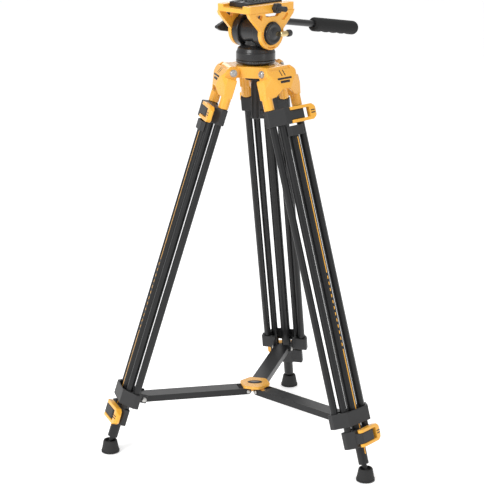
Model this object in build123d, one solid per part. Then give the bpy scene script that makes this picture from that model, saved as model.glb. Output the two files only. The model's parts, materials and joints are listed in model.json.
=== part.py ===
from build123d import *
import os
from math import atan2, cos, degrees, radians, sin

os.makedirs("parts", exist_ok=True)

# Video tripod with a fluid head: legs collapsed and spread, on a mid-level spreader.
# Frame: millimetres, +Z up, origin on the floor under the pan axis.
# The rear leg points along +Y; the other two are 120 degrees to each side.
# A leg piece is drawn upright in its own frame: X across the leg, Y outwards from the
# tripod, Z up the leg with zero at the fold pivot. place_on_leg then tilts and places it.
# A head piece is drawn with X along the tilt axis, Y to the back and Z from the floor.

# ---- driving dimensions -------------------------------------------------------------
LEG_NAMES = {"rear": 90, "left": 210, "right": 330}
LEG_TILT = 17.5            # lean of a leg from upright, degrees
PIVOT_RADIUS = 54.0        # fold pivots from the tripod's axis
PIVOT_HEIGHT = 765.6
TUBE_R = 7.0               # outer and middle leg tubes
WALL = 1.2                 # tube wall
LOWER_TUBE_R = 10.0
OUTER_X = 38.2             # outer tubes, from the leg's middle
MIDDLE_X = 24.7            # middle tubes
MIDDLE_Y = 11.7
LOWER_Y = 11.5             # the single lower tube
SLIDE_GAP = 0.3            # room round a tube that slides

KNUCKLE_R = 11.5           # spider end that a leg folds on
KNUCKLE_HALF = 27.5
EAR_OUTER = 38.6           # outer face of a yoke ear
BOLT_R = 4.0
PRONG_R = 10.0
PRONG_END = -70.0

TOP_CLAMP = (-70.5, -102.0)      # top and bottom of each clamp along the leg
GUIDE_SPAN = (-106.0, -125.0)
BRACKET_SPAN = (-662.0, -691.0)
LOWER_CLAMP = (-701.0, -735.0)
# each lever: hinge X and Y, length, half depth, hinge to inside of its end, slant in degrees
TOP_LEVER = (5.0, 24.2, 64.5, 4.9, 45.0, 0.0)
LOWER_LEVER = (11.0, 32.5, 59.0, 6.0, 42.0, 9.0)
LEVER_PIN_R = 2.2

ARM_PIVOT_Y = -24.0        # spreader pivot on the leg bracket
ARM_PIVOT_Z = -677.5
ARM_HALF_WIDTH = 16.0
ARM_DEPTH = 14.0
ARM_SHEET = 2.0
HUB_PIN_RADIUS = 18.0
HUB_PIN_HEIGHT = 107.0

FOOT_BALL_HEIGHT = 18.0
FOOT_R = 17.8

HEAD_TURN = -30            # tilt axis, degrees about Z
TILT_HEIGHT = 839.0
CAGE_INNER = 36.0          # inner face of a cage side
CAGE_OUTER = 44.0
CAGE_LOBE_R = 31.5
CAGE_TOP = (880.0, 894.0)
CAGE_HALF_LENGTH = 62.0
PAN_R = 38.0
PAN_SEAM = 786.0
BAR_PIVOT = (2.0, 843.0)   # pan bar rosette: to the back, height
BAR_SLOPE = 9.17           # pan bar, degrees below level
BAR_RISE = 17.0            # bar axis above the rosette's centre
BAR_X = -64.0

leg_lean = radians(LEG_TILT)


# ---- placing ------------------------------------------------------------------------
def place_on_leg(piece, angle):
    leaned = Rot(LEG_TILT, 0, 0) * piece
    return Rot(0, 0, angle - 90) * Pos(0, PIVOT_RADIUS, PIVOT_HEIGHT) * leaned


def place_on_head(piece):
    return Rot(0, 0, HEAD_TURN) * piece


def save(name, piece):
    piece.label = name
    export_step(piece, f"parts/{name}.step")


# ---- small shapes -------------------------------------------------------------------
def rod_z(radius, low, high, x=0.0, y=0.0):
    rod = Cylinder(radius, high - low, align=(Align.CENTER, Align.CENTER, Align.MIN))
    return Pos(x, y, low) * rod


def rod_x(radius, low, high, y=0.0, z=0.0):
    rod = Cylinder(radius, high - low, align=(Align.CENTER, Align.CENTER, Align.MIN))
    return Pos(low, y, z) * Rot(0, 90, 0) * rod


def rod_y(radius, low, high, x=0.0, z=0.0):
    rod = Cylinder(radius, high - low, align=(Align.CENTER, Align.CENTER, Align.MIN))
    return Pos(x, low, z) * Rot(-90, 0, 0) * rod


def slab(points, low, high):
    """An outline in X and Y, raised from low to high."""
    face = make_face(Polyline(*points, close=True))
    return Pos(0, 0, low) * extrude(face, high - low)


def side_slab(points, low, high):
    """An outline in Y and Z, raised along X."""
    face = make_face(Polyline(*points, close=True))
    turned = Plane(origin=(low, 0, 0), x_dir=(0, 1, 0), z_dir=(1, 0, 0))
    return extrude(turned * face, high - low)


def front_slab(points, low, high):
    """An outline in X and Z, raised along Y."""
    face = make_face(Polyline(*points, close=True))
    turned = Plane(origin=(0, high, 0), x_dir=(1, 0, 0), z_dir=(0, -1, 0))
    return extrude(turned * face, high - low)


def block(x0, x1, y0, y1, z0, z1):
    box = Box(x1 - x0, y1 - y0, z1 - z0, align=(Align.MIN, Align.MIN, Align.MIN))
    return Pos(x0, y0, z0) * box


def edges_up(piece, length):
    """Straight edges that run along Z and are longer than length."""
    return [e for e in piece.edges().filter_by(Axis.Z) if e.length > length]


# ---- spider -------------------------------------------------------------------------
SPIDER_LOW = 754.5
SPIDER_HIGH = 776.5
BEAM_DISTANCE = 45.0       # outer face of the beam between two legs
BOWL_R = 33.0
BOWL_CENTRE = 797.0


def spider():
    half = KNUCKLE_HALF
    corner = BEAM_DISTANCE / cos(radians(30))
    points = []
    for angle in LEG_NAMES.values():
        for side in (-30, 30):
            a = radians(angle + side)
            points.append((corner * cos(a), corner * sin(a)))
    body = slab(points, SPIDER_LOW, SPIDER_HIGH)
    for angle in LEG_NAMES.values():
        arm = block(-half, half, 20, PIVOT_RADIUS, SPIDER_LOW, SPIDER_HIGH)
        arm += rod_x(KNUCKLE_R, -half, half, PIVOT_RADIUS, PIVOT_HEIGHT)
        body += Rot(0, 0, angle - 90) * arm
    for angle in LEG_NAMES.values():
        hollow = block(-17, 17, 32, PIVOT_RADIUS - 15, SPIDER_LOW - 1, SPIDER_LOW + 12)
        hollow += rod_x(BOLT_R + 0.1, -half - 1, half + 1, PIVOT_RADIUS, PIVOT_HEIGHT)
        swing = rod_x(15.5, half, half + 14, PIVOT_RADIUS, PIVOT_HEIGHT)
        swing += rod_x(15.5, -half - 14, -half, PIVOT_RADIUS, PIVOT_HEIGHT)
        body -= Rot(0, 0, angle - 90) * (hollow + swing)
    body -= Pos(0, 0, BOWL_CENTRE) * Sphere(BOWL_R)
    body -= rod_z(19, SPIDER_LOW - 1, SPIDER_HIGH + 1)
    return body


def leg_pivot_bolts():
    bolts = []
    for angle in LEG_NAMES.values():
        for side in (-1, 1):
            shank = rod_x(BOLT_R, 6, EAR_OUTER, PIVOT_RADIUS, PIVOT_HEIGHT)
            head = rod_x(6.2, EAR_OUTER, EAR_OUTER + 2.6, PIVOT_RADIUS, PIVOT_HEIGHT)
            bolt = shank + head
            if side < 0:
                bolt = mirror(bolt, Plane.YZ)
            bolts.append(Rot(0, 0, angle - 90) * bolt)
    return Compound(children=bolts)


# ---- levelling ball and handle ------------------------------------------------------
BALL_R = BOWL_R - 0.3
HANDLE_LOW = 668.0


def half_ball():
    ball = Pos(0, 0, BOWL_CENTRE) * Sphere(BALL_R)
    ball -= block(-60, 60, -60, 60, 779.4, 840)
    ball += rod_z(6, 742, 770)
    return ball


def levelling_handle():
    dish = rod_z(20, 746.0, 752.6)
    barrel = rod_z(9.0, HANDLE_LOW, 746.0)
    barrel = fillet(barrel.edges().sort_by(Axis.Z)[0], 3.0)
    handle = dish + barrel
    handle -= rod_z(6.1, 735, 753)
    return handle


# ---- pan base and housing -----------------------------------------------------------
def pan_base_ring():
    ring = rod_z(PAN_R, 779.4, PAN_SEAM - 0.6)
    ring = chamfer(ring.edges().sort_by(Axis.Z)[0], 1.0)
    return ring + rod_z(14, PAN_SEAM - 0.6, 793)


def pan_housing():
    profile = [
        (0, PAN_SEAM), (PAN_R, PAN_SEAM), (PAN_R, 799.5), (36.6, 802.0), (34.5, 808.0),
        (27.5, 812.5), (21.0, 813.2), (21.0, 822.0), (0, 822.0),
    ]
    face = Plane.XZ * make_face(Polyline(*profile, close=True))
    body = revolve(face, Axis.Z)
    body -= rod_z(14.3, PAN_SEAM - 1, 793.3)
    body -= rod_x(25.0, -40, 40, 0, TILT_HEIGHT)
    for side in (-1, 1):
        flange = rod_x(31.6, 19.7, 36, 0, TILT_HEIGHT)
        cheek = rod_x(CAGE_LOBE_R + 0.9, 35.4, 47, 0, TILT_HEIGHT)
        cut = flange + cheek
        if side < 0:
            cut = mirror(cut, Plane.YZ)
        body -= cut
    return body


def tilt_drum():
    drum = rod_x(25.0, -20, 20, 0, TILT_HEIGHT)
    for side in (-1, 1):
        flange = rod_x(31.0, 20, 35.4, 0, TILT_HEIGHT)
        flange = fillet(flange.edges().filter_by(GeomType.CIRCLE), 2.5)
        stub = rod_x(10, 35.4, 43.5, 0, TILT_HEIGHT)
        end = flange + stub
        if side < 0:
            end = mirror(end, Plane.YZ)
        drum += end
    return drum


PAN_KNOB_ANGLE = 135       # about Z in the head's frame, towards the back


def pan_lock_knob():
    knob = rod_x(3, PAN_R + 0.3, 42) + rod_x(9, 42, 54)
    for i in range(6):
        a = radians(i * 60)
        knob -= rod_x(3.0, 41, 57, 10.8 * cos(a), 10.8 * sin(a))
    return Rot(0, 0, PAN_KNOB_ANGLE) * Pos(0, 0, 794.0) * knob


# ---- tilting cage -------------------------------------------------------------------
def arc_groove(radius, start, end):
    """A groove in the cage side's face, round the drag cap, between two angles."""
    ring = rod_x(radius + 1, CAGE_OUTER - 3, CAGE_OUTER + 1)
    ring -= rod_x(radius - 1, CAGE_OUTER - 4, CAGE_OUTER + 2)
    reach = 60.0
    wedge = [(0, 0)]
    for angle in (start, (start + end) / 2, end):
        wedge.append((reach * cos(radians(angle)), reach * sin(radians(angle))))
    return ring & side_slab(wedge, CAGE_OUTER - 3, CAGE_OUTER + 1)


def cage_side():
    """The side plate on the +X side."""
    low, high = CAGE_TOP
    top = low - TILT_HEIGHT
    outline = [
        (-CAGE_HALF_LENGTH, top), (-58.0, top - 8), (-31.3, 6.0), (31.3, 6.0),
        (58.0, top - 8), (CAGE_HALF_LENGTH, top),
    ]
    plate = side_slab(outline, CAGE_INNER, CAGE_OUTER)
    plate += rod_x(CAGE_LOBE_R, CAGE_INNER, CAGE_OUTER)
    window = [(-19, top - 3), (-15, 32), (15, 32), (21, top - 3)]
    front_opening = [(-45.0, 37.5), (-28.0, 26.0), (-24.5, 36.5)]
    for opening in (window, front_opening):
        plate -= side_slab(opening, CAGE_INNER - 1, CAGE_OUTER + 1)
    back_pocket = [(25, 23.5), (40, 37), (44, 33), (33, 23)]
    plate -= side_slab(back_pocket, CAGE_OUTER - 3.5, CAGE_OUTER + 1)
    plate -= rod_x(10.1, CAGE_INNER - 1, CAGE_OUTER + 1)
    for radius, start, end in ((24.6, 168, 230), (27.4, 246, 288)):
        plate -= arc_groove(radius, start, end)
    plate -= rod_x(22.3, CAGE_OUTER - 2, CAGE_OUTER + 1)
    return Pos(0, 0, TILT_HEIGHT) * plate


def cage_top():
    low, high = CAGE_TOP
    x = CAGE_OUTER
    y = CAGE_HALF_LENGTH
    frame = block(-x, x, -y, y, low, high)
    frame = fillet(edges_up(frame, 10), 6.0)
    channel = block(-26.3, 26.3, -y - 1, y + 1, high - 6, high + 1)
    frame -= channel
    frame -= block(-14, 14, -34, 34, low - 1, high)
    frame -= rod_x(4.2, 20, x + 1, 8.0, 886.5)
    frame -= rod_z(6.2, high - 10, high, 0, 52)
    return frame


def tilt_cap():
    cap = rod_x(22.0, CAGE_OUTER - 1.8, CAGE_OUTER + 1.2, 0, TILT_HEIGHT)
    return cap - rod_x(10.4, 40, CAGE_OUTER + 0.2, 0, TILT_HEIGHT)


STEM_DROP = -2.5           # the lock's stem below the tilt axis


def tilt_lock_lever():
    stem_x = CAGE_OUTER + 7.2
    ring = rod_x(20.5, CAGE_OUTER + 1.5, CAGE_OUTER + 5.8)
    ring = fillet(ring.edges().filter_by(GeomType.CIRCLE).sort_by(Axis.X)[-1], 1.8)
    stem = rod_y(5.4, 14, 33.6, stem_x, STEM_DROP)
    grip = rod_y(6.8, 33.6, 44, stem_x, STEM_DROP)
    grip = fillet(grip.edges().sort_by(Axis.Y)[-1], 3.0)
    return Pos(0, 0, TILT_HEIGHT) * (ring + stem + grip)


def bubble_level():
    return rod_z(6.0, CAGE_TOP[1] - 9.8, CAGE_TOP[1] - 6.6, 0, 52)


def quick_release_plate():
    high = CAGE_TOP[1]
    plate = block(-26, 26, -45, 45, high - 5.7, high + 4)
    plate = chamfer(plate.edges().group_by(Axis.Z)[-1], 1.2)
    plate -= block(-4.0, 4.0, -30, 30, high - 6, high + 5)
    plate -= block(-9.0, 9.0, -34, 34, high - 6, high - 1.5)
    return plate


def camera_screw():
    high = CAGE_TOP[1]
    head = rod_z(8.0, high - 5.2, high - 1.8)
    return head + rod_z(3.175, high - 1.8, high + 9.5)


def plate_clamp_knob():
    knob = rod_x(3.9, 28, CAGE_OUTER + 1) + rod_x(9.8, CAGE_OUTER + 0.4, CAGE_OUTER + 10.5)
    for i in range(6):
        a = radians(i * 60 + 30)
        knob -= rod_x(3.0, CAGE_OUTER - 1, CAGE_OUTER + 11, 11 * cos(a), 11 * sin(a))
    knob += rod_x(5.2, CAGE_OUTER + 10.5, CAGE_OUTER + 28)
    return Pos(0, 8.0, 886.5) * knob


# ---- pan bar ------------------------------------------------------------------------
BAR_TUBE_R = 7.0
BAR_START = -16.0
BAR_END = 362.0
GRIP_START = 228.0


def bar_frame(piece):
    """Drawn along +Y at the rosette, then sloped and placed on the cage's -X side."""
    y, z = BAR_PIVOT
    return Pos(0, y, z) * Rot(-BAR_SLOPE, 0, 0) * piece


def pan_bar_bracket():
    disc = rod_x(15.0, -56.0, -47.7)
    arm = block(-70.5, -56.0, -12, 12, -4, BAR_RISE)
    arm += rod_y(9.5, BAR_START, 20, BAR_X, BAR_RISE)
    arm += rod_x(12.0, -66.0, -56.0)
    arm -= rod_y(BAR_TUBE_R, BAR_START - 1, 21, BAR_X, BAR_RISE)
    return bar_frame(disc + arm)


def rosette_seat():
    """Toothed seat fixed to the cage, with the clamp's bolt hole."""
    y, z = BAR_PIVOT
    seat = rod_x(15.0, -47.4, -CAGE_OUTER + 2, y, z)
    return seat - rod_x(10.4, -CAGE_OUTER, -CAGE_OUTER + 3, 0, TILT_HEIGHT)


def pan_bar_clamp_lever():
    hub = rod_x(13.0, -83.5, -74.2)
    wing = side_slab([(-1, 12.5), (-25, 3.5), (-32, 0.5), (-32, -3.5), (-21, -9.5), (-1, -12.9)],
                     -82.5, -74.2)
    y, z = BAR_PIVOT
    return Pos(0, y, z) * (hub + wing)


def pan_bar_tube():
    tube = rod_y(BAR_TUBE_R, BAR_START, GRIP_START + 100, BAR_X, BAR_RISE)
    tube -= rod_y(BAR_TUBE_R - WALL, BAR_START - 1, GRIP_START + 101, BAR_X, BAR_RISE)
    return bar_frame(tube)


def pan_bar_grip():
    grip = rod_y(14.5, GRIP_START, BAR_END, BAR_X, BAR_RISE - 1.0)
    grip = fillet(grip.edges().sort_by(Axis.Y)[-1], 11.0)
    grip = fillet(grip.edges().sort_by(Axis.Y)[0], 4.0)
    for i in range(4):
        y = GRIP_START + 28 + 24 * i
        grip -= Pos(BAR_X, y, BAR_RISE - 30.0) * Rot(0, 90, 0) * Cylinder(17.0, 60)
    grip -= rod_y(BAR_TUBE_R, GRIP_START - 1, GRIP_START + 100, BAR_X, BAR_RISE)
    return bar_frame(grip)


# ---- one leg ------------------------------------------------------------------------
def cheek_cut(side):
    """Slopes the front off from the middle plate to a prong, on one side."""
    start = Vector(side * 31, 20, -8)
    low = Vector(side * 9, 20, -37)
    outside = Vector(side * 48, 8.5, -40)
    normal = (low - start).cross(outside - start).normalized()
    if normal.Y < 0:
        normal = -normal
    return Plane(origin=start, z_dir=normal) * Pos(0, 0, 50) * Box(300, 300, 100)


def yoke():
    top = 10.0
    plan = [(-48, -9), (-48, 11), (-30, 20), (30, 20), (48, 11), (48, -9)]
    body = slab(plan, -48, top)
    front = [(-33, top), (33, top), (48, -14), (48, -48), (-48, -48), (-48, -14)]
    body &= front_slab(front, -20, 30)
    side = [(-14, 0), (-10, 8.5), (-4, top), (8, top), (13, 4), (20, -12), (20, -48), (-9, -48),
            (-9, -12)]
    body &= side_slab(side, -60, 60)
    room = KNUCKLE_HALF + 0.6
    body -= block(-room, room, -20, 2, -60, 30)
    body -= rod_x(13.2, -room, room)
    body -= block(-room, room, -20, 12.6, -60, -2)
    body -= cheek_cut(-1) + cheek_cut(1)
    arch = [(-30, -52), (-10, -34.5), (10, -34.5), (30, -52)]
    body -= front_slab(arch, -20, 30)
    ear_cut = block(EAR_OUTER, 60, -20, 30, -11, 30)
    body -= ear_cut + mirror(ear_cut, Plane.YZ)
    for side in (-1, 1):
        prong = rod_z(PRONG_R, PRONG_END, -14, side * OUTER_X)
        prong &= block(-48.2, 48.2, -20, 20, PRONG_END, -14)
        body += prong
        body -= rod_z(TUBE_R, PRONG_END - 1, -30, side * OUTER_X)
    body -= rod_x(BOLT_R + 0.1, -60, 60)
    return body


def tube(radius, low, high, x, y):
    return rod_z(radius, low, high, x, y) - rod_z(radius - WALL, low - 1, high + 1, x, y)


def outer_tubes():
    low = BRACKET_SPAN[1] + 3
    sides = [tube(TUBE_R, low, -30, side * OUTER_X, 0) for side in (-1, 1)]
    return Compound(children=sides)


def middle_tubes():
    low = LOWER_CLAMP[1] + 4
    high = TOP_CLAMP[0] - 4
    sides = [tube(TUBE_R, low, high, side * MIDDLE_X, MIDDLE_Y) for side in (-1, 1)]
    return Compound(children=sides)


def with_hinge(body, span, shape):
    """Clears room in a clamp for a lever's arms and adds the pin that the lever turns on."""
    high, low = span
    x, y, length, half, inner, slant = shape
    reach = half + 0.6
    outline = [(-length - 5, -reach), (-length - 5, 60), (reach, 60), (reach, 0), (0, -reach)]
    for bottom, top in ((low - 1, low + 7), (high - 7, high + 1)):
        room = slab(outline, bottom, top) + rod_z(reach, bottom, top)
        body -= Pos(x, y, 0) * Rot(0, 0, slant) * room
    return body + rod_z(LEVER_PIN_R, low + 0.6, high - 0.6, x, y)


def top_clamp():
    high, low = TOP_CLAMP
    plan = [(-49.5, -8.5), (-49.5, 3), (-25, 27), (25, 27), (49.5, 3), (49.5, -8.5)]
    body = slab(plan, low, high)
    body = fillet(edges_up(body, 20), 2.5)
    body -= slab([(-28, -12), (-28, -2), (-14, -2), (-14, 1), (14, 1), (14, -2), (28, -2), (28, -12)],
                 low - 1, high + 1)
    for side in (-1, 1):
        body -= rod_z(TUBE_R + SLIDE_GAP, low - 1, high + 1, side * OUTER_X)
        body -= rod_z(TUBE_R, low - 1, high - 4, side * MIDDLE_X, MIDDLE_Y)
    return with_hinge(body, TOP_CLAMP, TOP_LEVER)


def lever(span, shape):
    """A yellow frame: two arms beside the clamp, joined by a rounded end that a finger lifts."""
    high, low = span
    x, y, length, half, inner, slant = shape
    arm = rod_z(half, low + 0.3, low + 6.4)
    arm += block(-inner - 2, 0, -half, half, low + 0.3, low + 6.4)
    other = Pos(0, 0, (high - low) - 6.7) * arm
    wall = slab([(-inner, -half), (-inner, half), (6 - length, half), (-length, half - 3),
                 (-length, 3 - half), (7 - length, -half)], low + 0.3, high - 0.3)
    middle = (low + high) / 2
    wall &= front_slab([(10 - inner, low), (10 - inner, high), (13 - length, high),
                        (-length, middle + 8), (-length, middle - 8), (13 - length, low)], -60, 60)
    body = arm + other + wall
    body -= rod_z(LEVER_PIN_R + 0.2, low - 1, high + 1)
    return Pos(x, y, 0) * Rot(0, 0, slant) * body


def tube_guide():
    high, low = GUIDE_SPAN
    body = slab([(-22, 5), (-22, 20), (-15, 26.5), (15, 26.5), (22, 20), (22, 5)], low, high)
    body = fillet(edges_up(body, 15), 2.0)
    for side in (-1, 1):
        body -= rod_z(TUBE_R + SLIDE_GAP, low - 1, high + 1, side * MIDDLE_X, MIDDLE_Y)
    return body - rod_z(LOWER_TUBE_R, low - 1, high - 2, 0, LOWER_Y)


def lower_bracket():
    high, low = BRACKET_SPAN
    plan = [(-50, -9), (-50, 3), (-29, 26.5), (29, 26.5), (50, 3), (50, -9)]
    body = slab(plan, low, high)
    body = fillet(edges_up(body, 20), 2.5)
    cavity = [(-32, -3), (-32, 13), (-20, 24.3), (20, 24.3), (32, 13), (32, -3)]
    body -= slab(cavity, low - 1, high + 1)
    body -= block(-19, 19, -12, 0, low - 1, high + 1)
    for side in (-1, 1):
        cheek = slab([(17.0, -3.5), (21.0, -3.5), (20.5, -26), (19.5, -30), (17.0, -30)],
                     low + 6, low + 24)
        if side < 0:
            cheek = mirror(cheek, Plane.YZ)
        body += cheek
    for side in (-1, 1):
        body -= rod_z(TUBE_R, low + 3, high + 1, side * OUTER_X)
        body -= rod_z(TUBE_R + 1.0, low - 1, high + 1, side * MIDDLE_X, MIDDLE_Y)
    return body


def lower_clamp():
    high, low = LOWER_CLAMP
    plan = [(-35, 1.5), (-35, 12), (-23, 26.5), (23, 26.5), (35, 12), (35, 1.5)]
    body = slab(plan, low, high)
    body = fillet(edges_up(body, 20), 2.5)
    body += slab([(-13, -2), (-16, 3), (16, 3), (13, -2)], low, high)
    body -= rod_z(LOWER_TUBE_R + SLIDE_GAP, low - 1, high + 1, 0, LOWER_Y)
    for side in (-1, 1):
        body -= rod_z(TUBE_R, low + 4, high + 1, side * MIDDLE_X, MIDDLE_Y)
    x, y, length, half, inner, slant = LOWER_LEVER
    nose = slab([(-34.5, -14), (-34.5, 4), (-30, 5), (4, 5), (8, -4), (8, -14)], low + 7, high - 7)
    nose = Pos(x, y, 0) * Rot(0, 0, slant) * nose
    nose -= rod_z(LOWER_TUBE_R + SLIDE_GAP, low - 1, high + 1, 0, LOWER_Y)
    for side in (-1, 1):
        nose -= rod_z(TUBE_R, low + 4, high + 1, side * MIDDLE_X, MIDDLE_Y)
    return with_hinge(body + nose, LOWER_CLAMP, LOWER_LEVER)


def foot_ball_z():
    """Leg height of the foot's ball, where the lower tube's axis meets its height."""
    drop = PIVOT_HEIGHT - FOOT_BALL_HEIGHT + LOWER_Y * sin(leg_lean)
    return -drop / cos(leg_lean)


def lower_tube():
    ball_z = foot_ball_z()
    body = rod_z(LOWER_TUBE_R, ball_z + 16, GUIDE_SPAN[0] - 2, 0, LOWER_Y)
    body -= rod_z(LOWER_TUBE_R - WALL, ball_z + 30, GUIDE_SPAN[0], 0, LOWER_Y)
    body += rod_z(5.2, ball_z, ball_z + 17, 0, LOWER_Y)
    return body + Pos(0, LOWER_Y, ball_z) * Sphere(7.0)


def foot():
    profile = [(0, 0), (15.8, 0), (FOOT_R, 2.0), (FOOT_R, 5.0), (14.4, 22.0), (12.9, 26.0), (0, 26.0)]
    face = Plane.XZ * make_face(Polyline(*profile, close=True))
    body = revolve(face, Axis.Z)
    body -= Pos(0, 0, FOOT_BALL_HEIGHT) * Sphere(7.3)
    mouth = [(0, FOOT_BALL_HEIGHT), (7.3, FOOT_BALL_HEIGHT), (7.6, 20.0), (11.4, 27.0), (0, 27.0)]
    body -= revolve(Plane.XZ * make_face(Polyline(*mouth, close=True)), Axis.Z)
    return body


def foot_radius():
    return PIVOT_RADIUS - foot_ball_z() * sin(leg_lean) + LOWER_Y * cos(leg_lean)


def place_foot(angle):
    a = radians(angle)
    r = foot_radius()
    return Pos(r * cos(a), r * sin(a), 0) * foot()


# ---- spreader -----------------------------------------------------------------------
def arm_outer_point():
    r = PIVOT_RADIUS - ARM_PIVOT_Z * sin(leg_lean) + ARM_PIVOT_Y * cos(leg_lean)
    z = PIVOT_HEIGHT + ARM_PIVOT_Z * cos(leg_lean) + ARM_PIVOT_Y * sin(leg_lean)
    return r, z


HUB_CLEAR = 18.5           # from the hub pin to where an arm's web starts


def spreader_arm(angle):
    """An upside-down channel from the hub pin to the leg bracket."""
    r1, z1 = arm_outer_point()
    start = Vector(0, HUB_PIN_RADIUS, HUB_PIN_HEIGHT)
    along = Vector(0, r1, z1) - start
    length = along.length
    rise = degrees_of(along)
    half = ARM_HALF_WIDTH
    body = block(-half, half, HUB_CLEAR, length, -6.5, 6.5)
    body += block(-half, half, 0, HUB_CLEAR + 1, -6.3, 6.3) + rod_x(6.3, -half, half)
    body += rod_x(6.5, -half, half, length, 0)
    room = half - ARM_SHEET
    body -= block(-room, room, -10, length + 20, -8, 6.5 - ARM_SHEET)
    body -= block(-room, room, -10, HUB_CLEAR, -12, 12)
    body -= rod_x(2.6, -half - 1, half + 1)
    body = Rot(rise, 0, 0) * body
    return Rot(0, 0, angle - 90) * Pos(0, HUB_PIN_RADIUS, HUB_PIN_HEIGHT) * body


def degrees_of(along):
    return degrees(atan2(along.Z, along.Y))


HUB_PLATE = (114.2, 120.0)
HUB_R = 32.5


def hub():
    """Plate over the arm ends, with a lug inside each arm for its pin."""
    points = []
    for angle in LEG_NAMES.values():
        for side in (-32, 32):
            a = radians(angle + side)
            points.append((HUB_R * cos(a), HUB_R * sin(a)))
    low, high = HUB_PLATE
    plate = slab(points, low, high)
    plate = fillet(edges_up(plate, 5), 9.0)
    plate = chamfer(plate.edges().group_by(Axis.Z)[-1], 1.2)
    for angle in LEG_NAMES.values():
        lug = block(-5, 5, 0, HUB_PIN_RADIUS, HUB_PIN_HEIGHT - 5.5, low + 1)
        lug += rod_x(5.5, -5, 5, HUB_PIN_RADIUS, HUB_PIN_HEIGHT)
        plate += Rot(0, 0, angle - 90) * lug
    for angle in LEG_NAMES.values():
        bore = rod_x(2.5, -6, 6, HUB_PIN_RADIUS, HUB_PIN_HEIGHT)
        plate -= Rot(0, 0, angle - 90) * bore
    return plate


def hub_pins():
    pins = []
    for angle in LEG_NAMES.values():
        pin = rod_x(2.5, -17.2, 17.2, HUB_PIN_RADIUS, HUB_PIN_HEIGHT)
        pins.append(Rot(0, 0, angle - 90) * pin)
    return Compound(children=pins)


# ---- write every sub-part -----------------------------------------------------------
LEG_PIECES = {
    "yoke": yoke, "outer_tubes": outer_tubes, "top_clamp": top_clamp,
    "middle_tubes": middle_tubes, "tube_guide": tube_guide,
    "lower_bracket": lower_bracket, "lower_clamp": lower_clamp, "lower_tube": lower_tube,
}
HEAD_PIECES = {
    "pan_housing": pan_housing, "tilt_drum": tilt_drum, "pan_lock_knob": pan_lock_knob,
    "cage_top": cage_top, "tilt_cap": tilt_cap, "tilt_lock_lever": tilt_lock_lever,
    "bubble_level": bubble_level, "quick_release_plate": quick_release_plate,
    "camera_screw": camera_screw, "plate_clamp_knob": plate_clamp_knob,
    "pan_bar_bracket": pan_bar_bracket, "pan_bar_clamp_lever": pan_bar_clamp_lever,
    "pan_bar_tube": pan_bar_tube, "pan_bar_grip": pan_bar_grip,
}

save("spider", spider())
save("leg_pivot_bolts", leg_pivot_bolts())
save("half_ball", half_ball())
save("levelling_handle", levelling_handle())
save("pan_base_ring", pan_base_ring())
for name, make in HEAD_PIECES.items():
    save(name, place_on_head(make()))
save("cage_side_left", place_on_head(cage_side()))
save("cage_side_right", place_on_head(mirror(cage_side(), Plane.YZ) + rosette_seat()))
for name, make in LEG_PIECES.items():
    upright = make()
    for leg, angle in LEG_NAMES.items():
        save(f"{leg}_{name}", place_on_leg(upright, angle))
for leg, angle in LEG_NAMES.items():
    save(f"{leg}_top_lever", place_on_leg(lever(TOP_CLAMP, TOP_LEVER), angle))
    save(f"{leg}_lower_lever", place_on_leg(lever(LOWER_CLAMP, LOWER_LEVER), angle))
    save(f"{leg}_foot", place_foot(angle))
    save(f"{leg}_spreader_arm", spreader_arm(angle))
save("spreader_hub", hub())
save("hub_pins", hub_pins())
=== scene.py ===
import json
import math

import bmesh
import bpy
from mathutils import Matrix, Vector


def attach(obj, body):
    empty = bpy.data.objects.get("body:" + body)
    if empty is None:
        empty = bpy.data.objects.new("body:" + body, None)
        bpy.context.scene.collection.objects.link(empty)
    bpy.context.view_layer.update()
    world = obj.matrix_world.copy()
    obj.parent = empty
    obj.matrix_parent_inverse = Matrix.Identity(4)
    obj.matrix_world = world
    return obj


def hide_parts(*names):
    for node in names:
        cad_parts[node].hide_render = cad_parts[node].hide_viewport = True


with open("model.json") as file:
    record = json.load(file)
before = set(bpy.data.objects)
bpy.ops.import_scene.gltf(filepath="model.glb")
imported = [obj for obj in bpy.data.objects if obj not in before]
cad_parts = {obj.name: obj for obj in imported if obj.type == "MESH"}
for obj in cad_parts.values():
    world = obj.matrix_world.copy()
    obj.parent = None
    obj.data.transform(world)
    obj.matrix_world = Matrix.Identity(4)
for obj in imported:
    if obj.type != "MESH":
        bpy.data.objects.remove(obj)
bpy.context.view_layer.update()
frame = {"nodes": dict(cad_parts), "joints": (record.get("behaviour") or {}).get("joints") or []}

scene = bpy.context.scene


# ---- Camera ----
# A long lens three metres back, a little above the head and to the tripod's right, looking down
# at it so that the head touches the top of the frame and the feet stand near the bottom.
CAMERA_PLACE = (0.7671, -2.9043, 1.2832)
CAMERA_DIP = math.radians(16.074)
CAMERA_TURN = math.radians(15.30)
LENS = 116.67

camera_data = bpy.data.cameras.new("camera")
camera_data.sensor_width = 36.0
camera_data.lens = LENS
camera = bpy.data.objects.new("camera", camera_data)
camera.location = CAMERA_PLACE
camera.rotation_euler = (math.pi / 2 - CAMERA_DIP, 0, CAMERA_TURN)
scene.collection.objects.link(camera)
scene.camera = camera
scene.view_settings.view_transform = "Standard"


# ---- Floor and studio light ----
# A white paper sweep, a large soft box in front on the left, a weaker one on the right, and a
# white room all round, as a catalogue studio lights a dark tripod.
FLOOR_HALF = 14.0
ROOM_LIGHT = 0.62
AIM = Vector((0, 0, 0.5))


def soft_box(name, place, width, height, power):
    data = bpy.data.lights.new(name, "AREA")
    data.shape = "RECTANGLE"
    data.size = width
    data.size_y = height
    data.energy = power
    lamp = bpy.data.objects.new(name, data)
    lamp.location = place
    lamp.rotation_euler = (AIM - Vector(place)).to_track_quat("-Z", "Y").to_euler()
    scene.collection.objects.link(lamp)


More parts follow.
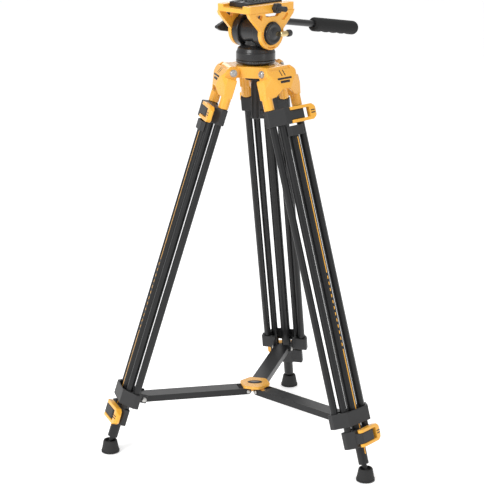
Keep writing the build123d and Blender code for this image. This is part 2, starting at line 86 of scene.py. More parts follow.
paper_mesh = bpy.data.meshes.new("paper_sweep")
corners = [(-1, -1), (1, -1), (1, 1), (-1, 1)]
paper_mesh.from_pydata([(x * FLOOR_HALF, y * FLOOR_HALF, 0) for x, y in corners], [], [(0, 1, 2, 3)])
paper = bpy.data.materials.new("studio_paper")
paper.use_nodes = True
paper_shader = paper.node_tree.nodes["Principled BSDF"]
paper_shader.inputs["Base Color"].default_value = (0.93, 0.93, 0.93, 1)
paper_shader.inputs["Roughness"].default_value = 0.95
paper_shader.inputs["Emission Color"].default_value = (1, 1, 1, 1)
paper_shader.inputs["Emission Strength"].default_value = 0.42
paper_mesh.materials.append(paper)
sweep = bpy.data.objects.new("paper_sweep", paper_mesh)
scene.collection.objects.link(sweep)

soft_box("key_box", (-1.5, -2.7, 2.2), 1.3, 1.7, 56)
soft_box("right_box", (2.7, -1.4, 1.3), 0.8, 2.2, 8)
soft_box("rear_box", (-1.0, 2.6, 2.0), 1.8, 1.2, 14)
soft_box("top_box", (0.0, -0.2, 3.2), 1.6, 1.6, 20)
world = bpy.data.worlds.new("studio")
world.use_nodes = True
world.node_tree.nodes["Background"].inputs["Color"].default_value = (1, 1, 1, 1)
# The room lights the tripod softly but shows as pure white where it is seen past the paper.
seen = world.node_tree.nodes.new("ShaderNodeLightPath")
strength = world.node_tree.nodes.new("ShaderNodeMapRange")
strength.inputs["To Min"].default_value = ROOM_LIGHT
strength.inputs["To Max"].default_value = 1.0
world.node_tree.links.new(seen.outputs["Is Camera Ray"], strength.inputs["Value"])
background = world.node_tree.nodes["Background"]
world.node_tree.links.new(strength.outputs["Result"], background.inputs["Strength"])
scene.world = world


# ---- Spider ----
# The hub that the legs fold on: three knuckles joined by beams round the bowl of the head.
# It is die-cast aluminium in glossy yellow enamel, with a faint orange-peel skin.
def coating(name, light, deep, rough, metal=0.0, coat=0.0, grain=900.0, bump=0.05, patch=14.0,
            streaks=None):
    """A finish whose colour drifts between two tones, with a grain in its gloss and its surface."""
    material = bpy.data.materials.new(name)
    material.use_nodes = True
    nodes = material.node_tree.nodes
    link = material.node_tree.links.new
    shader = nodes["Principled BSDF"]
    shader.inputs["Metallic"].default_value = metal
    shader.inputs["Coat Weight"].default_value = coat
    shader.inputs["Coat Roughness"].default_value = 0.1
    shader.inputs["Specular IOR Level"].default_value = 0.4
    coordinates = nodes.new("ShaderNodeTexCoord")
    drift = nodes.new("ShaderNodeTexNoise")
    drift.inputs["Scale"].default_value = patch
    drift.inputs["Detail"].default_value = 3.0
    speck = nodes.new("ShaderNodeTexNoise")
    speck.inputs["Scale"].default_value = grain
    speck.inputs["Detail"].default_value = 2.0
    tone = nodes.new("ShaderNodeMix")
    tone.data_type = "RGBA"
    tone.inputs["A"].default_value = (*light, 1)
    tone.inputs["B"].default_value = (*deep, 1)
    gloss = nodes.new("ShaderNodeMapRange")
    gloss.inputs["From Min"].default_value = 0.3
    gloss.inputs["From Max"].default_value = 0.7
    gloss.inputs["To Min"].default_value = rough - 0.06
    gloss.inputs["To Max"].default_value = rough + 0.06
    relief = nodes.new("ShaderNodeBump")
    relief.inputs["Strength"].default_value = bump
    relief.inputs["Distance"].default_value = 0.0005
    link(coordinates.outputs["Object"], drift.inputs["Vector"])
    if streaks is None:
        link(coordinates.outputs["Object"], speck.inputs["Vector"])
    else:
        turn = nodes.new("ShaderNodeMapping")
        turn.vector_type = "POINT"
        turn.inputs["Rotation"].default_value = streaks.to_3x3().inverted().to_euler()
        stretch = nodes.new("ShaderNodeVectorMath")
        stretch.operation = "MULTIPLY"
        stretch.inputs[1].default_value = (1.0, 1.0, 0.02)
        link(coordinates.outputs["Object"], turn.inputs["Vector"])
        link(turn.outputs["Vector"], stretch.inputs[0])
        link(stretch.outputs["Vector"], speck.inputs["Vector"])
    link(drift.outputs["Fac"], tone.inputs["Factor"])
    link(tone.outputs["Result"], shader.inputs["Base Color"])
    link(speck.outputs["Fac"], gloss.inputs["Value"])
    link(gloss.outputs["Result"], shader.inputs["Roughness"])
    link(speck.outputs["Fac"], relief.inputs["Height"])
    link(relief.outputs["Normal"], shader.inputs["Normal"])
    return material


def settled(piece):
    """The piece's mesh with its modifiers worked in; the piece itself is thrown away."""
    bpy.context.view_layer.update()
    mesh = bpy.data.meshes.new_from_object(piece.evaluated_get(bpy.context.evaluated_depsgraph_get()))
    bpy.data.objects.remove(piece)
    mesh.materials.clear()
    return mesh


def rubbed(node, place, skin=0.0008, passes=6, keep=0.3):
    """The node's shape, upright in its own frame, with its edges rubbed round."""
    mesh = frame["nodes"][node].data.copy()
    mesh.materials.clear()
    mesh.transform(place.inverted())
    build = bmesh.new()
    build.from_mesh(mesh)
    bmesh.ops.remove_doubles(build, verts=build.verts, dist=1e-6)
    build.to_mesh(mesh)
    build.free()
    piece = bpy.data.objects.new(f"{node}_blank", mesh)
    scene.collection.objects.link(piece)
    cover = piece.modifiers.new("cover", "REMESH")
    cover.mode = "VOXEL"
    cover.voxel_size = skin * 1
    rub = piece.modifiers.new("rub", "SMOOTH")
    rub.factor = 0.5
    rub.iterations = passes
    thin = piece.modifiers.new("thin", "DECIMATE")
    thin.ratio = keep
    return settled(piece)


def fitted(name, mesh, place, body, material, stands_for=()):
    """The mesh as a finished piece: placed, shaded smooth, and riding on its body."""
    mesh = mesh.copy()
    mesh.name = name
    mesh.transform(place)
    if place.determinant() < 0:
        mesh.flip_normals()
    mesh.materials.clear()
    mesh.materials.append(material)
    mesh.polygons.foreach_set("use_smooth", [True] * len(mesh.polygons))
    piece = bpy.data.objects.new(name, mesh)
    scene.collection.objects.link(piece)
    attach(piece, body)
    if stands_for:
        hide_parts(*stands_for)
    return piece


def softened(name, node, place, body, material, slot, **rub):
    """The node with its edges rubbed round, as a finished piece that takes the node's place."""
    return fitted(name, rubbed(node, place, **rub), place, body, material, (node,))


UPRIGHT = Matrix.Identity(4)
yellow_enamel = coating("yellow_enamel", (0.92, 0.46, 0.055), (0.86, 0.40, 0.035), 0.30, coat=0.5,
                        grain=420, bump=0.02)
softened("spider_casting", "spider", UPRIGHT, "spider", yellow_enamel, "yellow_cast", skin=0.0009)


# ---- Leg pivot bolts ----
# Two button-head socket screws hold each leg's yoke on the spider's knuckle.
# They are zinc-plated steel, domed, with a six-sided socket, on a plain washer.
LEGS = ("rear", "left", "right")
EAR_FACE = 0.0386
BOLT_HEAD_RADIUS = 0.0058
BOLT_HEAD_HEIGHT = 0.0026
WASHER_RADIUS = 0.0072
WASHER_THICKNESS = 0.0009
WASHER_HOLE = 0.0030


def joint_called(name):
    return next(joint for joint in frame["joints"] if joint["name"] == name)


def leg_frame(leg):
    """The leg's own frame: X across it, Y outwards, Z up it, with zero at the fold pivot."""
    fold = joint_called(f"{leg}_leg_fold")
    across = -Vector(fold["axis"]).normalized()
    up = -Vector(joint_called(f"{leg}_middle_stage")["axis"]).normalized()
    turn = Matrix((across, up.cross(across), up)).transposed().to_4x4()
    return Matrix.Translation(fold["pos_m"]) @ turn


def rings_joined(name, rings):
    """A closed skin over rings of points, each ring closed, with its first and last ring capped."""
    build = bmesh.new()
    rows = [[build.verts.new(point) for point in ring] for ring in rings]
    for low, high in zip(rows, rows[1:]):
        for i in range(len(low)):
            j = (i + 1) % len(low)
            build.faces.new((low[i], low[j], high[j], high[i]))
    for row, flip in ((rows[0], True), (rows[-1], False)):
        middle = sum((v.co for v in row), Vector()) / len(row)
        centre = build.verts.new(middle)
        for i in range(len(row)):
            j = (i + 1) % len(row)
            corner = (row[j], row[i], centre) if flip else (row[i], row[j], centre)
            build.faces.new(corner)
    mesh = bpy.data.meshes.new(name)
    build.to_mesh(mesh)
    build.free()
    return mesh


def circle_at(radius, height, sides=48):
    steps = [2 * math.pi * i / sides for i in range(sides)]
    return [Vector((radius * math.cos(a), radius * math.sin(a), height)) for a in steps]


def hexagon_at(apothem, height, sides=48):
    """The same number of points as a circle, pushed out onto a hexagon."""
    ring = []
    for point in circle_at(1.0, height, sides):
        a = math.atan2(point.y, point.x)
        reach = apothem / math.cos((a + math.pi / 6) % (math.pi / 3) - math.pi / 6)
        ring.append(Vector((reach * math.cos(a), reach * math.sin(a), height)))
    return ring


def button_screw(radius, height):
    """A domed screw head that stands on z = 0, with a hexagon socket in its top."""
    dome = [(1.0, -0.5), (1.0, 0.22), (0.96, 0.45), (0.86, 0.72), (0.72, 0.91), (0.60, 1.0)]
    rings = [circle_at(radius * r, height * h) for r, h in dome]
    rings.append(hexagon_at(radius * 0.46, height * 1.0))
    rings.append(hexagon_at(radius * 0.43, height * 0.90))
    rings.append(hexagon_at(radius * 0.43, height * 0.25))
    return rings_joined("button_screw", rings)


def turned(profile, sides=48):
    """A solid turned about Z from radii and heights, read from its underside up."""
    return rings_joined("turned", [circle_at(r, h, sides) for r, h in profile])


def facing(place, point, direction):
    """A place whose Z looks along direction, at a point, both given in another frame."""
    turn = Vector(direction).to_track_quat("Z", "Y").to_matrix().to_4x4()
    return place @ Matrix.Translation(point) @ turn


def dressed(node, material):
    """Puts a finish on a node whose own shape is good enough to show."""
    data = frame["nodes"][node].data
    data.materials.clear()
    data.materials.append(material)


leg_places = {leg: leg_frame(leg) for leg in LEGS}
zinc_steel = coating("zinc_steel", (0.50, 0.49, 0.47), (0.40, 0.40, 0.39), 0.30, metal=1.0,
                     grain=1400, bump=0.03)
bolt_head = button_screw(BOLT_HEAD_RADIUS, BOLT_HEAD_HEIGHT)
washer = turned([
    (WASHER_RADIUS, -0.0004), (WASHER_RADIUS, WASHER_THICKNESS - 0.0003),
    (WASHER_RADIUS - 0.0004, WASHER_THICKNESS), (WASHER_HOLE, WASHER_THICKNESS),
])
for leg in LEGS:
    for side, sign in (("near", 1), ("far", -1)):
        seat = facing(leg_places[leg], (sign * EAR_FACE, 0, 0), (sign, 0, 0))
        head = seat @ Matrix.Translation((0, 0, WASHER_THICKNESS))
        fitted(f"{leg}_bolt_{side}", bolt_head, head, "spider", zinc_steel)
        fitted(f"{leg}_washer_{side}", washer, seat, "spider", zinc_steel)
dressed("leg_pivot_bolts", zinc_steel)


# ---- Yokes ----
# Each leg hangs from a broad shouldered casting whose two hollow prongs hold the outer tubes.
# Die-cast aluminium in the spider's enamel, with flat dark inlays on its shoulder.
INLAY_PROUD = 0.00025
FACE_OUT = 0.0200
SHOULDER_MIDDLE = (0.0164, -0.0040)
SHOULDER_SLOPE = (0, 0.916, 0.401)


def inlay(width, height):
    """A thin plate with rounded ends, lying on z = 0."""
    radius = min(width, height) * 0.3
    ring = []
    for cx, cy, start in ((1, 1, 0), (-1, 1, 90), (-1, -1, 180), (1, -1, 270)):
        for step in range(5):
            a = math.radians(start + step * 22.5)
            x = cx * (width / 2 - radius) + radius * math.cos(a)
            y = cy * (height / 2 - radius) + radius * math.sin(a)
            ring.append((x, y))
    rings = [[Vector((x, y, z)) for x, y in ring] for z in (-0.0006, INLAY_PROUD)]
    return rings_joined("inlay", rings)


yoke_upright = rubbed("rear_yoke", leg_places["rear"], skin=0.0007, passes=7, keep=0.3)
ink = coating("inlay_black", (0.012, 0.012, 0.013), (0.018, 0.018, 0.018), 0.45, grain=1500, bump=0.04)
long_bar = inlay(0.038, 0.0036)
short_bar = inlay(0.025, 0.0046)
tick = inlay(0.0022, 0.0130)
for leg in LEGS:
    place = leg_places[leg]
    body = f"{leg}_leg_upper"
    fitted(f"{leg}_yoke_casting", yoke_upright, place, body, yellow_enamel,
           (f"{leg}_yoke",))
    for name, bar, height in (("long", long_bar, -0.0150), ("short", short_bar, -0.0212)):
        seat = facing(place, (0, FACE_OUT, height), (0, 1, 0))
        fitted(f"{leg}_yoke_{name}_bar", bar, seat, body, ink)
    for name, side in (("near", 1), ("far", -1)):
        seat = facing(place, (side * 0.0043, *SHOULDER_MIDDLE), SHOULDER_SLOPE)
        fitted(f"{leg}_yoke_{name}_tick", tick, seat, body, ink)


# ---- Outer leg tubes ----
# Two thin aluminium tubes run down from the yoke's prongs, anodised satin black, with the
# fine lengthwise lines that drawing a tube leaves.
tube_black = {}
for leg in LEGS:
    tube_black[leg] = coating(f"tube_black_{leg}", (0.006, 0.0062, 0.0066), (0.010, 0.0102, 0.011), 0.38,
                              metal=0.0, grain=1500, bump=0.08, streaks=leg_places[leg])
    dressed(f"{leg}_outer_tubes", tube_black[leg])


# ---- Lower brackets ----
# A moulded collar joins the outer tubes at their foot and carries the spreader arm between
# two cheeks; a domed pin goes through each cheek.
ARM_PIVOT = (-0.024, -0.6775)
PIN_DOME_RADIUS = 0.0052

black_plastic = coating("black_plastic", (0.021, 0.0212, 0.022), (0.030, 0.030, 0.031), 0.50,
                        grain=1600, bump=0.10)
bracket_upright = rubbed("rear_lower_bracket", leg_places["rear"], skin=0.0008, passes=5, keep=0.3)
pin_dome = turned([
    (PIN_DOME_RADIUS, -0.0010), (PIN_DOME_RADIUS, 0.0008), (0.0045, 0.0016), (0.0026, 0.0023),
    (0.0008, 0.0025),
], 32)
for leg in LEGS:
    place = leg_places[leg]
    fitted(f"{leg}_bracket_body", bracket_upright, place, f"{leg}_leg_upper", black_plastic,
           (f"{leg}_lower_bracket",))
    for side, sign in (("near", 1), ("far", -1)):
        seat = facing(place, (sign * 0.0205, *ARM_PIVOT), (sign, 0, 0))
        fitted(f"{leg}_arm_pin_{side}", pin_dome, seat, f"{leg}_leg_upper", zinc_steel)


# ---- Top clamps ----
# The clamp at the head of the middle stage slides on the outer tubes. It is moulded in
# glass-filled nylon with soft edges and a satin, faintly pebbled skin.
clamp_upright = rubbed("rear_top_clamp", leg_places["rear"], skin=0.0008, passes=5, keep=0.3)
for leg in LEGS:
    fitted(f"{leg}_top_clamp_body", clamp_upright, leg_places[leg], f"{leg}_leg_middle", black_plastic,
           (f"{leg}_top_clamp",))


# ---- Middle leg tubes and lower clamps ----
# Two tubes hang from the top clamp between the outer ones and end in the lower clamp,
# which grips the single lower tube.
low_clamp_upright = rubbed("rear_lower_clamp", leg_places["rear"], skin=0.0008, passes=5, keep=0.3)
for leg in LEGS:
    dressed(f"{leg}_middle_tubes", tube_black[leg])
    fitted(f"{leg}_lower_clamp_body", low_clamp_upright, leg_places[leg], f"{leg}_leg_middle",
           black_plastic, (f"{leg}_lower_clamp",))


# ---- Flip levers ----
# Yellow moulded frames that swing out to free a stage. Each has two dark grip bars at its
# tip and shows the steel end of its hinge pin above and below.
LEVERS = {
    # hinge X and Y, slant, tip bars' distance, half depth, middle height
    "top": (0.0050, 0.0242, 0, 0.0530, 0.0049, -0.08625),
    "lower": (0.0110, 0.0325, 9, 0.0490, 0.0060, -0.7180),
}
LEVER_HALF_HEIGHT = {"top": 0.01575, "lower": 0.0170}

yellow_plastic = coating("yellow_plastic", (0.93, 0.47, 0.055), (0.87, 0.41, 0.035), 0.34, coat=0.3,
                         bump=0.03)
grip_bar = inlay(0.0110, 0.0020)
hinge_pin = turned([(0.0021, -0.0006), (0.0021, 0.0001), (0.0016, 0.0004)], 24)
for kind, (hinge_x, hinge_y, slant, tip, half, middle) in LEVERS.items():
    upright = rubbed(f"rear_{kind}_lever", leg_places["rear"], skin=0.0006, passes=7, keep=0.35)
    for leg in LEGS:
        body = f"{leg}_{kind}_lever"
        place = leg_places[leg]
        fitted(f"{body}_frame", upright, place, body, yellow_plastic, (body,))
        slanted = Matrix.Rotation(math.radians(slant), 4, "Z")
        hinge = place @ Matrix.Translation((hinge_x, hinge_y, middle)) @ slanted
        for name, drop in (("upper", 0.0024), ("under", -0.0024)):
            bar = facing(hinge, (-tip, half - 0.00005, drop), (0, 1, 0))
            fitted(f"{body}_{name}_bar", grip_bar, bar, body, ink)
        for end, sign in (("upper", 1), ("under", -1)):
            seat = facing(hinge, (0, 0, sign * (LEVER_HALF_HEIGHT[kind] - 0.0005)), (0, 0, sign))
            fitted(f"{body}_{end}_pin", hinge_pin, seat, body, zinc_steel)


# ---- Lower leg tubes and guides ----
# The single lower tube slides between the middle pair; a nylon guide rides at its top. A
# yellow line runs down its outer side, broken into dashes half-way.
LINE_X = 0.0011
LINE_FACE = 0.0115 + 0.0100
LINE_TOP = -0.128
LINE_BOTTOM = -0.752
DASH_TOP = -0.400
DASH = 0.006
DASHES = 12


def boxes(name, spans):
    """Boxes joined in one mesh, each given as low X, high X, low Y, high Y, low Z, high Z."""
    build = bmesh.new()
    for x0, x1, y0, y1, z0, z1 in spans:
        size = Matrix.Diagonal((x1 - x0, y1 - y0, z1 - z0, 1))
        centre = Matrix.Translation(((x0 + x1) / 2, (y0 + y1) / 2, (z0 + z1) / 2))
        bmesh.ops.create_cube(build, size=1.0, matrix=centre @ size)
    mesh = bpy.data.meshes.new(name)
    build.to_mesh(mesh)
    build.free()
    return mesh


def flat(piece):
    """Turns off smooth shading, for a piece with square edges."""
    piece.data.polygons.foreach_set("use_smooth", [False] * len(piece.data.polygons))
    return piece


def line_pieces():
    low, high = LINE_FACE - 0.0006, LINE_FACE + 0.00012
    dash_end = DASH_TOP - DASH * (2 * DASHES)
    spans = [(-LINE_X, LINE_X, low, high, DASH_TOP + DASH, LINE_TOP)]
    spans.append((-LINE_X, LINE_X, low, high, LINE_BOTTOM, dash_end))
    for i in range(DASHES):
        top = DASH_TOP - 2 * DASH * i
        spans.append((-LINE_X, LINE_X, low, high, top - DASH, top))
    return boxes("height_line", spans)


guide_upright = rubbed("rear_tube_guide", leg_places["rear"], skin=0.0006, passes=5, keep=0.4)
height_line = line_pieces()
for leg in LEGS:
    body = f"{leg}_leg_lower"
    dressed(f"{leg}_lower_tube", tube_black[leg])
    fitted(f"{leg}_guide_body", guide_upright, leg_places[leg], body, black_plastic,
           (f"{leg}_tube_guide",))
    flat(fitted(f"{leg}_height_line", height_line, leg_places[leg], body, yellow_plastic))


# ---- Feet ----
# Moulded rubber cups that swivel on the tubes' balls, with a lipped skirt, a rounded mouth
# and a ring of short ribs round the sole's edge.
FOOT_PROFILE = [
    (0.0150, 0.0), (0.0162, 0.0003), (0.0176, 0.0020), (0.0178, 0.0030), (0.0178, 0.0048),
    (0.0174, 0.0060), (0.0163, 0.0110), (0.0152, 0.0170), (0.0144, 0.0218), (0.0137, 0.0244),
    (0.0129, 0.0257), (0.0118, 0.0260), (0.0111, 0.0256), (0.0102, 0.0240), (0.0078, 0.0201),
    (0.0073, 0.0185), (0.0068, 0.0150), (0.0050, 0.0124), (0.0020, 0.0109),
]
RIB_COUNT = 36


def pattern(name, kind):
    """A node group that repeats a piece round a circle about Z, or along a line."""
    group = bpy.data.node_groups.new(name, "GeometryNodeTree")
    sockets = group.interface
    sockets.new_socket(name="Geometry", in_out="INPUT", socket_type="NodeSocketGeometry")
    sockets.new_socket(name="Piece", in_out="INPUT", socket_type="NodeSocketObject")
    sockets.new_socket(name="Count", in_out="INPUT", socket_type="NodeSocketInt")
    sockets.new_socket(name="Material", in_out="INPUT", socket_type="NodeSocketMaterial")
    nodes = group.nodes
    link = group.links.new
    given = nodes.new("NodeGroupInput")
    result = nodes.new("NodeGroupOutput")
    info = nodes.new("GeometryNodeObjectInfo")
    spread = nodes.new("GeometryNodeInstanceOnPoints")
    real = nodes.new("GeometryNodeRealizeInstances")
    colour = nodes.new("GeometryNodeSetMaterial")
    if kind == "ring":
        sockets.new_socket(name="Radius", in_out="INPUT", socket_type="NodeSocketFloat")
        points = nodes.new("GeometryNodeMeshCircle")
        place = nodes.new("GeometryNodeInputPosition")
        face = nodes.new("FunctionNodeAlignRotationToVector")
        face.axis = "X"
        link(given.outputs["Count"], points.inputs["Vertices"])
        link(given.outputs["Radius"], points.inputs["Radius"])
        link(place.outputs["Position"], face.inputs["Vector"])
        link(face.outputs["Rotation"], spread.inputs["Rotation"])
    else:
        sockets.new_socket(name="Start", in_out="INPUT", socket_type="NodeSocketVector")
        sockets.new_socket(name="Step", in_out="INPUT", socket_type="NodeSocketVector")
        points = nodes.new("GeometryNodeMeshLine")
        link(given.outputs["Count"], points.inputs["Count"])
        link(given.outputs["Start"], points.inputs["Start Location"])
        link(given.outputs["Step"], points.inputs["Offset"])
    sockets.new_socket(name="Geometry", in_out="OUTPUT", socket_type="NodeSocketGeometry")
    link(points.outputs["Mesh"], spread.inputs["Points"])
    link(given.outputs["Piece"], info.inputs["Object"])
    link(info.outputs["Geometry"], spread.inputs["Instance"])
    link(spread.outputs["Instances"], real.inputs["Geometry"])
    link(real.outputs["Geometry"], colour.inputs["Geometry"])
    link(given.outputs["Material"], colour.inputs["Material"])
    link(colour.outputs["Geometry"], result.inputs["Geometry"])
    return group


def repeated(group, mesh, material, **values):
    """The mesh that a pattern makes of one piece."""
    piece = bpy.data.objects.new("pattern_piece", mesh)
    scene.collection.objects.link(piece)
    holder = bpy.data.objects.new("pattern_holder", bpy.data.meshes.new("pattern_holder"))
    scene.collection.objects.link(holder)
    modifier = holder.modifiers.new("repeat", "NODES")
    modifier.node_group = group
    values = {"Piece": piece, "Material": material, **values}
    for socket in group.interface.items_tree:
        if socket.in_out == "INPUT" and socket.name in values:
            modifier[socket.identifier] = values[socket.name]
    made = settled(holder)
    bpy.data.objects.remove(piece)
    return made


def joint_spot(name):
    return Vector(joint_called(name)["pos_m"])


ring_pattern = pattern("ring_pattern", "ring")
row_pattern = pattern("row_pattern", "row")
rubber = coating("rubber", (0.014, 0.014, 0.0145), (0.021, 0.021, 0.021), 0.66, grain=900, bump=0.15)
foot_cup = turned(FOOT_PROFILE, 72)
foot_rib = boxes("foot_rib", [(-0.0004, 0.0006, -0.0007, 0.0007, 0.0009, 0.0050)])
foot_ribs = repeated(ring_pattern, foot_rib, rubber, Count=RIB_COUNT, Radius=0.0176)
for leg in LEGS:
    spot = joint_spot(f"{leg}_foot_swivel")
    place = Matrix.Translation((spot.x, spot.y, 0))
    fitted(f"{leg}_foot_cup", foot_cup, place, f"{leg}_foot", rubber, (f"{leg}_foot",))
    flat(fitted(f"{leg}_foot_ribs", foot_ribs, place, f"{leg}_foot", rubber))


# ---- Spreader arms ----
# Folded aluminium channels, black anodised, from the hub out to each leg's bracket.
for leg in LEGS:
    dressed(f"{leg}_spreader_arm", tube_black[leg])


# ---- Spreader hub and its pins ----
# A cast plate over the arms' inner ends, with a dark oval badge, and domed rivet heads on
# the pins that the arms turn on.
BADGE_LENGTH = 0.0300
BADGE_WIDTH = 0.0170
HUB_TOP = 0.1200
PIN_END = 0.0172
RIVET_RADIUS = 0.0040


def oval(length, width, low, high):
    ring = [Vector((p.x * length / 2, p.y * width / 2, 0)) for p in circle_at(1.0, 0.0, 64)]
    shift = [Vector((0, 0, low)), Vector((0, 0, high))]
    return rings_joined("oval", [[p + s for p in ring] for s in shift])


softened("spreader_hub_casting", "spreader_hub", UPRIGHT, "hub", yellow_enamel, "yellow_cast",
         skin=0.0006, passes=5, keep=0.35)
badge_place = Matrix.Translation((0, 0, HUB_TOP)) @ Matrix.Rotation(math.radians(15), 4, "Z")
badge_grey = coating("badge_grey", (0.20, 0.20, 0.21), (0.26, 0.26, 0.27), 0.4, grain=1500, bump=0.03)
badge = oval(BADGE_LENGTH, BADGE_WIDTH, -0.0004, INLAY_PROUD)
badge_centre = oval(BADGE_LENGTH * 0.62, BADGE_WIDTH * 0.30, 0.0001, 0.0004)
fitted("hub_badge", badge, badge_place, "hub", ink)
fitted("hub_badge_centre", badge_centre, badge_place, "hub", badge_grey)
dressed("hub_pins", zinc_steel)
rivet = turned([
    (RIVET_RADIUS, -0.0008), (RIVET_RADIUS, 0.0004), (0.0033, 0.0013), (0.0018, 0.0018), (0.0005, 0.0019),
], 32)
for leg in LEGS:
    turn = joint_called(f"{leg}_arm_turn")
    along = Vector(turn["axis"])
    for side, sign in (("near", 1), ("far", -1)):
        end = Vector(turn["pos_m"]) + along * sign * PIN_END
        seat = facing(UPRIGHT, end, along * sign)
        fitted(f"{leg}_hub_rivet_{side}", rivet, seat, "hub", zinc_steel)


# ---- Levelling ball and handle ----
# The head's black half ball sits in the bowl. Under the spider a plastic handle on its bolt
# clamps it, with a fluted dish and grip.
FLUTES = 28

black_enamel = coating("black_enamel", (0.012, 0.0123, 0.0132), (0.017, 0.017, 0.018), 0.30, coat=0.2,
                       grain=1200)
dressed("half_ball", black_enamel)
softened("levelling_handle_grip", "levelling_handle", UPRIGHT, "levelling_handle", black_plastic,
         "black_plastic", skin=0.0007, passes=5, keep=0.35)
dish_rib = boxes("dish_rib", [(-0.0006, 0.0003, -0.0007, 0.0007, 0.7473, 0.7515)])
dish_ribs = repeated(ring_pattern, dish_rib, black_plastic, Count=FLUTES, Radius=0.0199)
flat(fitted("levelling_dish_ribs", dish_ribs, UPRIGHT, "levelling_handle", black_plastic))
barrel_rib = boxes("barrel_rib", [(-0.0006, 0.0003, -0.0005, 0.0005, 0.6730, 0.7380)])
barrel_ribs = repeated(ring_pattern, barrel_rib, black_plastic, Count=FLUTES // 2, Radius=0.0089)
flat(fitted("levelling_barrel_ribs", barrel_ribs, UPRIGHT, "levelling_handle", black_plastic))


# ---- Pan base ring and pan housing ----
# Two turned black castings with a fine seam between them, where the head pans. The base
# ring carries a ring of engraved degree ticks.
TICKS = 72

softened("pan_base_casting", "pan_base_ring", UPRIGHT, "levelling_ball", black_enamel, "black_cast",
         skin=0.0006, passes=3, keep=0.4)
softened("pan_housing_casting", "pan_housing", UPRIGHT, "pan_body", black_enamel, "black_cast",
         skin=0.0007, passes=4, keep=0.35)
tick_grey = coating("tick_grey", (0.30, 0.30, 0.30), (0.36, 0.36, 0.36), 0.5, grain=1500, bump=0.03)
degree_tick = boxes("degree_tick", [(-0.0004, 0.0001, -0.00015, 0.00015, 0.7822, 0.7846)])
degree_ticks = repeated(ring_pattern, degree_tick, tick_grey, Count=TICKS, Radius=0.0380)
flat(fitted("degree_ticks", degree_ticks, UPRIGHT, "levelling_ball", tick_grey))


# ---- Tilt drum ----
# The fluid cartridge's drum lies across the housing, with rolled rims inside the cage.
dressed("tilt_drum", black_enamel)


# ---- Pan lock ----
# A small lobed knob behind the housing that stops the pan.
def head_frame():
    """X along the tilt axis, Y to the back, Z up, with its origin on the floor."""
    across = Vector(joint_called("tilt")["axis"]).normalized()
    up = Vector((0, 0, 1))
    return Matrix((across, up.cross(across), up)).transposed().to_4x4()


head_place = head_frame()
softened("pan_lock_grip", "pan_lock_knob", UPRIGHT, "pan_lock", black_plastic, "black_plastic",
         skin=0.0005, passes=5, keep=0.4)


# ---- Tilting cage ----
# Two side plates and a top in yellow enamel hold the camera platform.
for node in ("cage_side_left", "cage_side_right", "cage_top"):
    softened(f"{node}_casting", node, head_place, "tilt_cage", yellow_enamel, "yellow_cast",
             skin=0.0006, passes=6, keep=0.3)


# ---- Tilt cap and tilt lock ----
# A flat cap covers the tilt bearing. The lock is a low disc with a bright turned steel stem, whose
# warm yellow tint is a painted reflection of the yellow cage, that ends in a round black grip.
TILT_HEIGHT = joint_spot("tilt").z
STEM_X = 0.0512
STEM_Z = TILT_HEIGHT - 0.0025
DISC_PROFILE = [
    (0.0203, 0.0455), (0.0205, 0.0458), (0.0205, 0.0482), (0.0201, 0.0490), (0.0190, 0.0496),
    (0.0150, 0.0498), (0.0146, 0.0494), (0.0100, 0.0494), (0.0096, 0.0498), (0.0020, 0.0498),
]

dressed("tilt_cap", black_plastic)
axle = facing(head_place, (0, 0, TILT_HEIGHT), (1, 0, 0))
fitted("tilt_lock_disc", turned(DISC_PROFILE, 64), axle, "tilt_lock", black_enamel,
       ("tilt_lock_lever",))
stem = turned([(0.0050, 0.0140), (0.0054, 0.0146), (0.0054, 0.0328), (0.0050, 0.0336)], 40)
stem_cap = turned([
    (0.0064, 0.0336), (0.0068, 0.0341), (0.0068, 0.0405), (0.0062, 0.0426), (0.0048, 0.0437),
    (0.0020, 0.0440),
], 40)
stem_place = facing(head_place, (STEM_X, 0, STEM_Z), (0, 1, 0))
# The stem is steel. Its warm brass-yellow colour is a painted reflection of the yellow cage beside it,
# not the metal's own tone.
stem_steel_painted_reflection = coating("stem_steel_painted_reflection", (0.72, 0.56, 0.28), (0.64, 0.50, 0.26), 0.30, metal=1.0,
                     grain=1400, bump=0.03)
fitted("tilt_lock_stem", stem, stem_place, "tilt_lock", stem_steel_painted_reflection)
fitted("tilt_lock_grip", stem_cap, stem_place, "tilt_lock", black_plastic)


# ---- Bubble level ----
# A round vial in a black rim, with an air bubble at its centre.
LEVEL_PLACE = (0.0, 0.052)
LEVEL_TOP = 0.8874

vial_liquid = coating("vial_liquid", (0.45, 0.62, 0.05), (0.40, 0.56, 0.04), 0.12, coat=1.0, bump=0.0)
dressed("bubble_level", vial_liquid)
level_place = head_place @ Matrix.Translation((*LEVEL_PLACE, 0))
rim = turned([(0.0062, LEVEL_TOP - 0.0008), (0.0062, LEVEL_TOP + 0.0004), (0.0058, LEVEL_TOP + 0.0006),
              (0.0054, LEVEL_TOP + 0.0004), (0.0053, LEVEL_TOP - 0.0004)], 48)
bubble = turned([(0.0020, LEVEL_TOP - 0.0004), (0.0021, LEVEL_TOP), (0.0014, LEVEL_TOP + 0.0003),
                 (0.0004, LEVEL_TOP + 0.0004)], 32)
bubble_clear = coating("bubble_clear", (0.72, 0.85, 0.35), (0.68, 0.80, 0.30), 0.08, coat=1.0, bump=0.0)
fitted("level_rim", rim, level_place, "tilt_cage", black_plastic)
fitted("level_bubble", bubble, level_place, "tilt_cage", bubble_clear)


# ---- Quick release plate ----
# A black plate with bevelled edges, a slot for the camera screw and fine rubber ribs across
# its top on each side of the slot.
PLATE_TOP = 0.8980
RIB_STEP = 0.0022
RIBS = 38

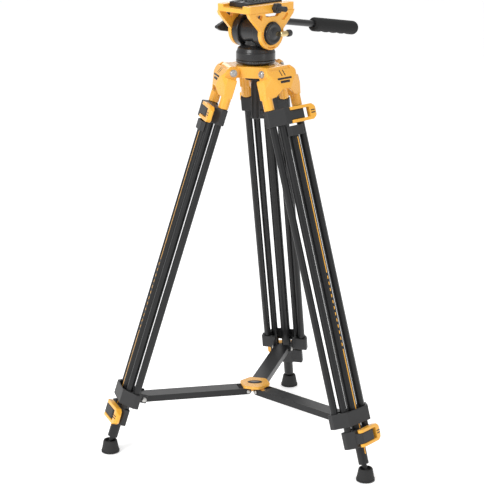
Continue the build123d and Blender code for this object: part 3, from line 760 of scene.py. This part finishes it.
softened("release_plate_body", "quick_release_plate", head_place, "camera_plate",
         black_enamel, "black_cast", skin=0.0006, passes=4, keep=0.35)
for side, x0, x1 in (("left", -0.0235, -0.0060), ("right", 0.0060, 0.0235)):
    one = boxes("grip_rib", [(x0, x1, -0.0006, 0.0006, PLATE_TOP - 0.0006, PLATE_TOP + 0.0005)])
    start = (0, -RIB_STEP * (RIBS - 1) / 2, 0)
    row = repeated(row_pattern, one, rubber, Count=RIBS, Start=start, Step=(0, RIB_STEP, 0))
    flat(fitted(f"plate_ribs_{side}", row, head_place, "camera_plate", rubber))


# ---- Camera screw ----
# A zinc-plated quarter-inch screw that stands up through the plate, with turns of thread.
THREAD_RADIUS = 0.003175
THREAD_PITCH = 0.00127
THREAD_TURNS = 7
thread_profile = [(THREAD_RADIUS - 0.0002, PLATE_TOP - 0.0030)]
for i in range(THREAD_TURNS):
    foot = PLATE_TOP - 0.0028 + i * THREAD_PITCH
    thread_profile += [(THREAD_RADIUS - 0.0006, foot), (THREAD_RADIUS, foot + THREAD_PITCH / 2)]
thread_profile += [(0.0024, 0.9033), (0.0020, 0.9035)]
screw_head = [(0.0079, 0.8888), (0.0080, 0.8891), (0.0080, 0.8919), (0.0077, 0.8922), (0.0030, 0.8922)]
fitted("camera_screw_thread", turned(thread_profile, 40), UPRIGHT, "camera_screw", zinc_steel,
       ("camera_screw",))
fitted("camera_screw_head", turned(screw_head, 48), UPRIGHT, "camera_screw", zinc_steel)


# ---- Plate clamp knob ----
# A lobed plastic knob with a long stub on the right of the platform.
softened("plate_clamp_grip", "plate_clamp_knob", head_place, "plate_clamp", black_plastic,
         "black_plastic", skin=0.0005, passes=5, keep=0.4)


# ---- Pan bar bracket and clamp ----
# A moulded bracket turns on a toothed rosette and holds the bar; a winged nut clamps it.
TEETH = 40

softened("bar_bracket_body", "pan_bar_bracket", head_place, "pan_bar", black_plastic, "black_plastic",
         skin=0.0006, passes=5, keep=0.35)
tooth = boxes("rosette_tooth", [(-0.0030, 0.0, -0.0004, 0.0004, -0.0009, 0.0008)])
teeth = repeated(ring_pattern, tooth, black_plastic, Count=TEETH, Radius=0.0151)
bar_pivot = joint_spot("pan_bar_angle")
rosette = facing(Matrix.Translation(bar_pivot), (0, 0, 0), joint_called("pan_bar_angle")["axis"])
rosette = rosette @ Matrix.Translation((0, 0, 0.0012))
flat(fitted("rosette_teeth", teeth, rosette, "pan_bar", black_plastic))
softened("bar_clamp_wing", "pan_bar_clamp_lever", head_place, "pan_bar_clamp", black_plastic,
         "black_plastic", skin=0.0005, passes=6, keep=0.4)


# ---- Pan bar and grip ----
# A black tube with a dense foam grip whose underside is waved for the fingers.
dressed("pan_bar_tube", black_enamel)
foam = coating("foam", (0.008, 0.008, 0.0085), (0.013, 0.013, 0.013), 0.78, grain=700, bump=0.3)
softened("pan_bar_grip_foam", "pan_bar_grip", head_place, "pan_bar", foam, "foam_grip",
         skin=0.0008, passes=8, keep=0.35)
